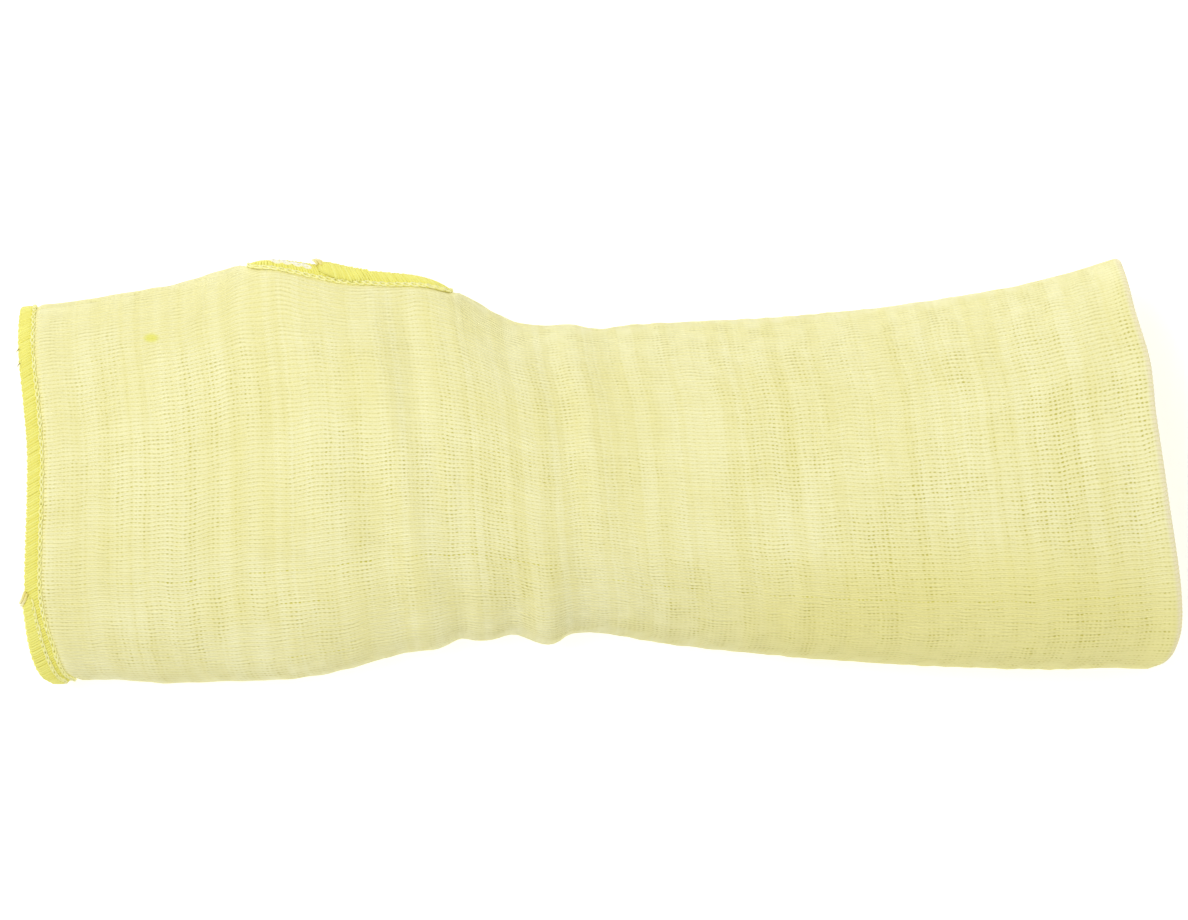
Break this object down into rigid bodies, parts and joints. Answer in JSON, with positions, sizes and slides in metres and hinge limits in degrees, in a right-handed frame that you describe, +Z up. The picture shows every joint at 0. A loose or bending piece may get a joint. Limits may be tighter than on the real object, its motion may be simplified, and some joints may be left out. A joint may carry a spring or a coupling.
{
  "type": "knitted cut resistant sleeve",
  "caption": "Tubular knitted sleeve for the hand, wrist and forearm, with a thumb slot and serged thread edges.",
  "frame": {"origin": "middle of the sleeve's footprint on the surface that it lies on", "axes": "+X along the sleeve from the hand end to the forearm end, +Y to the thumb side, +Z up"},
  "size_m": [0.259, 0.095, 0.0479],
  "materials": {
    "knit": "matte pale yellow two-ply knit",
    "overlock_thread": "matte bright yellow sewing thread"
  },
  "bodies": {
    "root": {"knit_sleeve": "knit", "hand_edge_overlock": "overlock_thread", "hand_edge_overlock_lap": "overlock_thread", "thumb_slot_overlock": "overlock_thread", "thumb_slot_overlock_lap": "overlock_thread"}
  },
  "joints": []
}
